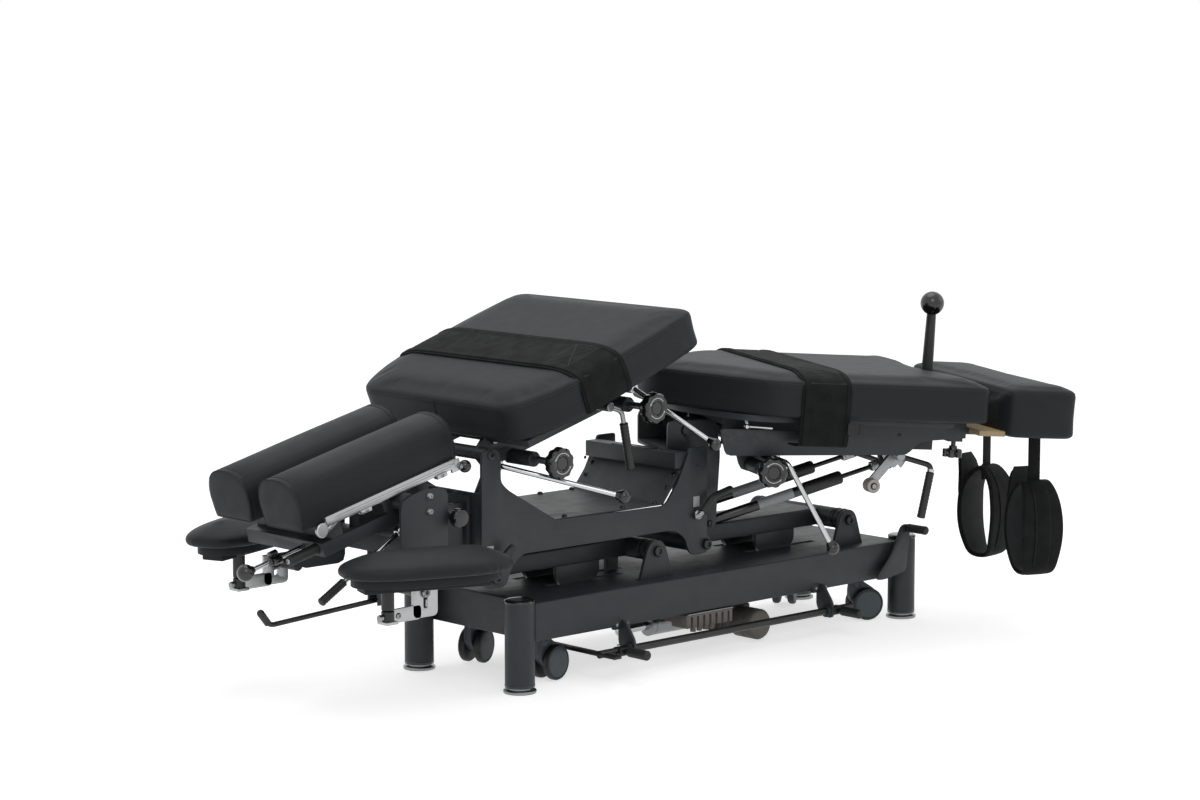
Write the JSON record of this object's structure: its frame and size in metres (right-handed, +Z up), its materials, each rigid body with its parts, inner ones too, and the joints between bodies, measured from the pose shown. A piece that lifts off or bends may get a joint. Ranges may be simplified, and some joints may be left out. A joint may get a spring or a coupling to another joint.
{
  "type": "chiropractic table",
  "caption": "Padded treatment table on a low steel base, with a lift, tilting, dropping and swinging sections, a parting head piece, arm rests and ankle cuffs.",
  "frame": {"origin": "on the floor under the middle of the whole outline", "axes": "+X from the head end to the foot end, +Y away from the side with the knobs, +Z up"},
  "size_m": [2.0265, 0.9634, 0.7467],
  "materials": {
    "frame_coat": "satin",
    "upholstery": "matte",
    "webbing": "matte",
    "grip_rubber": "matte",
    "black_plastic": "gloss",
    "chrome": "polished",
    "bare_aluminium": "satin",
    "castor_plastic": "satin",
    "actuator_grey": "satin",
    "slide_board": "satin",
    "spring_black": "satin"
  },
  "bodies": {
    "base": {"chassis": "frame_coat", "actuator_body": "actuator_grey"},
    "foot_bar": {"foot_bar": "frame_coat"},
    "castor_lever": {"castor_lever": "frame_coat"},
    "castor_frame": {"castor_frame": "frame_coat"},
    "lift_arm_head": {"lift_arm_head": "frame_coat"},
    "lift_arm_foot": {"lift_arm_foot": "frame_coat"},
    "actuator_rod": {"actuator_rod": "chrome"},
    "upper_frame": {"side_plate_near": "frame_coat", "side_plate_far": "frame_coat", "frame_cover": "frame_coat"},
    "grip_lever_head": {"grip_lever_head": "grip_rubber"},
    "grip_lever_foot": {"grip_lever_foot": "grip_rubber"},
    "thoracic_frame": {"thoracic_frame": "frame_coat"},
    "thoracic_top": {"thoracic_cushion": "upholstery", "thoracic_strap": "webbing"},
    "tension_knob_head": {"tension_knob_head": "black_plastic"},
    "tension_knob_foot": {"tension_knob_foot": "black_plastic"},
    "cocking_lever_head": {"cocking_lever_head": "chrome"},
    "cocking_lever_foot": {"cocking_lever_foot": "chrome"},
    "tilt_lever": {"tilt_lever": "grip_rubber"},
    "tilt_spring_body": {"tilt_spring_body_thoracic": "spring_black"},
    "tilt_spring_rod": {"tilt_spring_rod_thoracic": "chrome"},
    "leg_swivel": {"leg_swivel": "frame_coat"},
    "leg_frame": {"leg_frame": "frame_coat", "distraction_handle": "black_plastic"},
    "pelvic_top": {"pelvic_cushion": "upholstery", "pelvic_strap": "webbing"},
    "pelvic_knob": {"pelvic_knob": "black_plastic"},
    "pelvic_cocking_lever": {"pelvic_cocking_lever": "chrome"},
    "flexion_lever": {"flexion_lever": "chrome"},
    "foot_section": {"foot_slide": "slide_board", "foot_cushion": "upholstery"},
    "star_knob": {"star_knob": "grip_rubber"},
    "head_carriage": {"head_carriage": "frame_coat"},
    "head_frame": {"head_frame": "frame_coat"},
    "head_near": {"head_pad_near": "upholstery", "head_rail": "bare_aluminium"},
    "head_far": {"head_pad_far": "upholstery"},
    "head_ball_lever": {"head_ball_lever": "black_plastic"},
    "head_grip_lever": {"head_grip_lever": "grip_rubber"},
    "head_pedal": {"head_pedal": "grip_rubber"},
    "castor_fork_1": {"castor_fork_1": "castor_plastic"},
    "castor_wheels_1": {"castor_wheels_1": "castor_plastic"},
    "castor_fork_2": {"castor_fork_2": "castor_plastic"},
    "castor_wheels_2": {"castor_wheels_2": "castor_plastic"},
    "castor_fork_3": {"castor_fork_3": "castor_plastic"},
    "castor_wheels_3": {"castor_wheels_3": "castor_plastic"},
    "castor_fork_4": {"castor_fork_4": "castor_plastic"},
    "castor_wheels_4": {"castor_wheels_4": "castor_plastic"},
    "leg_spring_body_near": {"leg_spring_body_near": "spring_black"},
    "leg_spring_rod_near": {"leg_spring_rod_near": "chrome"},
    "ankle_cuff_near": {"ankle_cuff_near": "webbing"},
    "arm_post_near": {"arm_post_near": "bare_aluminium"},
    "arm_rest_near": {"arm_rest_near": "upholstery"},
    "leg_spring_body_far": {"leg_spring_body_far": "spring_black"},
    "leg_spring_rod_far": {"leg_spring_rod_far": "chrome"},
    "ankle_cuff_far": {"ankle_cuff_far": "webbing"},
    "arm_post_far": {"arm_post_far": "bare_aluminium"},
    "arm_rest_far": {"arm_rest_far": "upholstery"}
  },
  "joints": [
    {"name": "lift", "type": "hinge", "parent": "base", "child": "lift_arm_head", "pos_m": [-0.013, 0.102, 0.235], "axis": [0, 1, 0], "range_deg": [0, 48]},
    {"name": "lift_foot", "type": "hinge", "parent": "base", "child": "lift_arm_foot", "pos_m": [0.57, 0.102, 0.235], "axis": [0, 1, 0], "range_deg": [0, 48]},
    {"name": "frame_level", "type": "hinge", "parent": "lift_arm_head", "child": "upper_frame", "pos_m": [-0.457, 0.102, 0.234], "axis": [0, 1, 0], "range_deg": [-48, 0]},
    {"name": "actuator_stroke", "type": "slide", "parent": "base", "child": "actuator_rod", "axis": [-1, 0, 0], "range_m": [0, 0.13]},
    {"name": "foot_bar_rock", "type": "hinge", "parent": "base", "child": "foot_bar", "pos_m": [0.139, -0.098, 0.058], "axis": [1, 0, 0], "range_deg": [-8, 8], "stiffness_Nm_per_rad": 60, "springref_deg": -0.02},
    {"name": "castor_lower", "type": "slide", "parent": "base", "child": "castor_frame", "axis": [0, 0, -1], "range_m": [0, 0.012]},
    {"name": "castor_pedal", "type": "hinge", "parent": "base", "child": "castor_lever", "pos_m": [0.666, -0.048, 0.121], "axis": [0, 1, 0], "range_deg": [0, 40]},
    {"name": "castor_swivel_1", "type": "hinge", "parent": "castor_frame", "child": "castor_fork_1", "pos_m": [-0.305, -0.008, 0.12], "axis": [0, 0, 1], "continuous": true},
    {"name": "castor_roll_1", "type": "hinge", "parent": "castor_fork_1", "child": "castor_wheels_1", "pos_m": [-0.28333, -0.00418, 0.038], "axis": [-0.1736, 0.9848, 0], "continuous": true},
    {"name": "castor_swivel_2", "type": "hinge", "parent": "castor_frame", "child": "castor_fork_2", "pos_m": [-0.305, 0.212, 0.12], "axis": [0, 0, 1], "continuous": true},
    {"name": "castor_roll_2", "type": "hinge", "parent": "castor_fork_2", "child": "castor_wheels_2", "pos_m": [-0.28446, 0.21988, 0.038], "axis": [-0.3584, 0.9336, 0], "continuous": true},
    {"name": "castor_swivel_3", "type": "hinge", "parent": "castor_frame", "child": "castor_fork_3", "pos_m": [0.627, -0.008, 0.12], "axis": [0, 0, 1], "continuous": true},
    {"name": "castor_roll_3", "type": "hinge", "parent": "castor_fork_3", "child": "castor_wheels_3", "pos_m": [0.6471, -0.01695, 0.038], "axis": [0.4067, 0.9135, 0], "continuous": true},
    {"name": "castor_swivel_4", "type": "hinge", "parent": "castor_frame", "child": "castor_fork_4", "pos_m": [0.627, 0.212, 0.12], "axis": [0, 0, 1], "continuous": true},
    {"name": "castor_roll_4", "type": "hinge", "parent": "castor_fork_4", "child": "castor_wheels_4", "pos_m": [0.64524, 0.2243, 0.038], "axis": [-0.5592, 0.829, 0], "continuous": true},
    {"name": "head_lock_turn", "type": "hinge", "parent": "upper_frame", "child": "grip_lever_head", "pos_m": [-0.471, -0.058, 0.262], "axis": [0, 1, 0], "range_deg": [-25, 35]},
    {"name": "foot_lock_turn", "type": "hinge", "parent": "upper_frame", "child": "grip_lever_foot", "pos_m": [0.097, -0.048, 0.3], "axis": [0, 1, 0], "range_deg": [-8, 30]},
    {"name": "thoracic_tilt", "type": "hinge", "parent": "upper_frame", "child": "thoracic_frame", "pos_m": [-0.467, 0.102, 0.48], "axis": [0, 1, 0], "range_deg": [-5.5, 19.5]},
    {"name": "thoracic_drop", "type": "slide", "parent": "thoracic_frame", "child": "thoracic_top", "axis": [-0.3338, 0, 0.9426], "range_m": [0, 0.018]},
    {"name": "tension_head_turn", "type": "hinge", "parent": "thoracic_frame", "child": "tension_knob_head", "pos_m": [-0.38389, -0.138, 0.467], "axis": [0, 1, 0], "continuous": true},
    {"name": "tension_foot_turn", "type": "hinge", "parent": "thoracic_frame", "child": "tension_knob_foot", "pos_m": [-0.12899, -0.138, 0.55302], "axis": [0, 1, 0], "continuous": true},
    {"name": "cocking_head_turn", "type": "hinge", "parent": "thoracic_frame", "child": "cocking_lever_head", "pos_m": [-0.43236, -0.018, 0.45408], "axis": [0, 1, 0], "range_deg": [-10, 12]},
    {"name": "cocking_foot_turn", "type": "hinge", "parent": "thoracic_frame", "child": "cocking_lever_foot", "pos_m": [-0.07981, -0.018, 0.57892], "axis": [0, 1, 0], "range_deg": [-10, 20]},
    {"name": "tilt_release", "type": "hinge", "parent": "thoracic_frame", "child": "tilt_lever", "pos_m": [-0.191, -0.048, 0.5544], "axis": [0, 1, 0], "range_deg": [-12, 12], "stiffness_Nm_per_rad": 15, "springref_deg": -0.05},
    {"name": "tilt_spring_swing", "type": "hinge", "parent": "upper_frame", "child": "tilt_spring_body", "pos_m": [-0.429, 0.062, 0.352], "axis": [0, 1, 0], "range_deg": [-3, 8]},
    {"name": "tilt_spring_stroke", "type": "slide", "parent": "tilt_spring_body", "child": "tilt_spring_rod", "axis": [0.4695, 0, 0.8829], "range_m": [-0.035, 0.011]},
    {"name": "leg_swing", "type": "hinge", "parent": "upper_frame", "child": "leg_swivel", "pos_m": [0.161, 0.102, 0.411], "axis": [0, 0, 1], "range_deg": [0, 50]},
    {"name": "leg_flex", "type": "hinge", "parent": "leg_swivel", "child": "leg_frame", "pos_m": [0.161, 0.102, 0.47], "axis": [0.4226, 0.9063, 0], "range_deg": [-6, 10]},
    {"name": "pelvic_drop", "type": "slide", "parent": "leg_frame", "child": "pelvic_top", "axis": [0.0632, -0.0295, 0.9976], "range_m": [0, 0.018]},
    {"name": "pelvic_tension_turn", "type": "hinge", "parent": "leg_frame", "child": "pelvic_knob", "pos_m": [0.19066, -0.16561, 0.39305], "axis": [0.4226, 0.9063, 0], "continuous": true},
    {"name": "pelvic_cocking_turn", "type": "hinge", "parent": "leg_frame", "child": "pelvic_cocking_lever", "pos_m": [0.2514, -0.1167, 0.41169], "axis": [0.4226, 0.9063, 0], "range_deg": [-10, 20]},
    {"name": "flexion_release", "type": "hinge", "parent": "leg_frame", "child": "flexion_lever", "pos_m": [0.52087, -0.22028, 0.40158], "axis": [0.4226, 0.9063, 0], "range_deg": [-10, 10], "stiffness_Nm_per_rad": 20, "springref_deg": -0.1},
    {"name": "leg_spring_near_swing", "type": "hinge", "parent": "leg_swivel", "child": "leg_spring_body_near", "pos_m": [0.17613, 0.00667, 0.269], "axis": [0.4226, 0.9063, 0], "range_deg": [-7, 11]},
    {"name": "leg_spring_near_stroke", "type": "slide", "parent": "leg_spring_body_near", "child": "leg_spring_rod_near", "axis": [0.8746, -0.4078, 0.2622], "range_m": [-0.038, 0.024]},
    {"name": "leg_spring_far_swing", "type": "hinge", "parent": "leg_swivel", "child": "leg_spring_body_far", "pos_m": [0.24375, 0.15168, 0.269], "axis": [0.4226, 0.9063, 0], "range_deg": [-7, 11]},
    {"name": "leg_spring_far_stroke", "type": "slide", "parent": "leg_spring_body_far", "child": "leg_spring_rod_far", "axis": [0.8746, -0.4078, 0.2622], "range_m": [-0.038, 0.024]},
    {"name": "distraction", "type": "slide", "parent": "leg_frame", "child": "foot_section", "axis": [0.9041, -0.4216, -0.0698], "range_m": [-0.03, 0.08]},
    {"name": "star_turn", "type": "hinge", "parent": "leg_frame", "child": "star_knob", "pos_m": [0.59739, -0.31003, 0.41613], "axis": [0.0632, -0.0295, 0.9976], "continuous": true},
    {"name": "cuff_near_swing", "type": "hinge", "parent": "foot_section", "child": "ankle_cuff_near", "pos_m": [0.83023, -0.34247, 0.4332], "axis": [0.7314, -0.682, 0], "range_deg": [-15, 15]},
    {"name": "cuff_far_swing", "type": "hinge", "parent": "foot_section", "child": "ankle_cuff_far", "pos_m": [0.93166, -0.12496, 0.4332], "axis": [1, 0, 0], "range_deg": [-15, 15]},
    {"name": "head_height", "type": "slide", "parent": "upper_frame", "child": "head_carriage", "axis": [0, 0, 1], "range_m": [-0.03, 0.05]},
    {"name": "head_tilt", "type": "hinge", "parent": "head_carriage", "child": "head_frame", "pos_m": [-0.687, 0.102, 0.412], "axis": [0, 1, 0], "range_deg": [-15, 19]},
    {"name": "pad_near_out", "type": "slide", "parent": "head_frame", "child": "head_near", "axis": [0, -1, 0], "range_m": [0, 0.01]},
    {"name": "pad_far_out", "type": "slide", "parent": "head_frame", "child": "head_far", "axis": [0, 1, 0], "range_m": [0, 0.01]},
    {"name": "head_ball_turn", "type": "hinge", "parent": "head_frame", "child": "head_ball_lever", "pos_m": [-0.93339, 0.044, 0.31768], "axis": [0.9694, 0, 0.2453], "range_deg": [-90, 90]},
    {"name": "head_grip_turn", "type": "hinge", "parent": "head_carriage", "child": "head_grip_lever", "pos_m": [-0.675, -0.014, 0.35], "axis": [0, 1, 0], "range_deg": [-12, 5]},
    {"name": "head_pedal_press", "type": "hinge", "parent": "head_carriage", "child": "head_pedal", "pos_m": [-0.631, 0.102, 0.196], "axis": [0, 1, 0], "range_deg": [-10, 10], "stiffness_Nm_per_rad": 20, "springref_deg": 0.1},
    {"name": "arm_rest_near_height", "type": "slide", "parent": "head_carriage", "child": "arm_post_near", "axis": [0, 0, 1], "range_m": [0, 0.024]},
    {"name": "arm_rest_near_turn", "type": "hinge", "parent": "arm_post_near", "child": "arm_rest_near", "pos_m": [-0.802, -0.131, 0.24], "axis": [0, 0, 1], "range_deg": [-40, 20]},
    {"name": "arm_rest_far_height", "type": "slide", "parent": "head_carriage", "child": "arm_post_far", "axis": [0, 0, 1], "range_m": [0, 0.024]},
    {"name": "arm_rest_far_turn", "type": "hinge", "parent": "arm_post_far", "child": "arm_rest_far", "pos_m": [-0.802, 0.335, 0.24], "axis": [0, 0, 1], "range_deg": [-20, 40]}
  ],
  "couplings": [
    {"joint": "lift_foot", "follows": "lift", "ratio": 1},
    {"joint": "frame_level", "follows": "lift", "ratio": -1},
    {"joint": "actuator_stroke", "follows": "lift", "m_per_rad": 0.152},
    {"joint": "castor_pedal", "follows": "castor_lower", "rad_per_m": 58.14},
    {"joint": "tilt_spring_swing", "follows": "thoracic_tilt", "ratio": 0.33},
    {"joint": "tilt_spring_stroke", "follows": "thoracic_tilt", "m_per_rad": -0.098},
    {"joint": "leg_spring_near_swing", "follows": "leg_flex", "ratio": 1},
    {"joint": "leg_spring_near_stroke", "follows": "leg_flex", "m_per_rad": -0.208},
    {"joint": "leg_spring_far_swing", "follows": "leg_flex", "ratio": 1},
    {"joint": "leg_spring_far_stroke", "follows": "leg_flex", "m_per_rad": -0.208},
    {"joint": "pad_far_out", "follows": "pad_near_out", "ratio": 1}
  ]
}
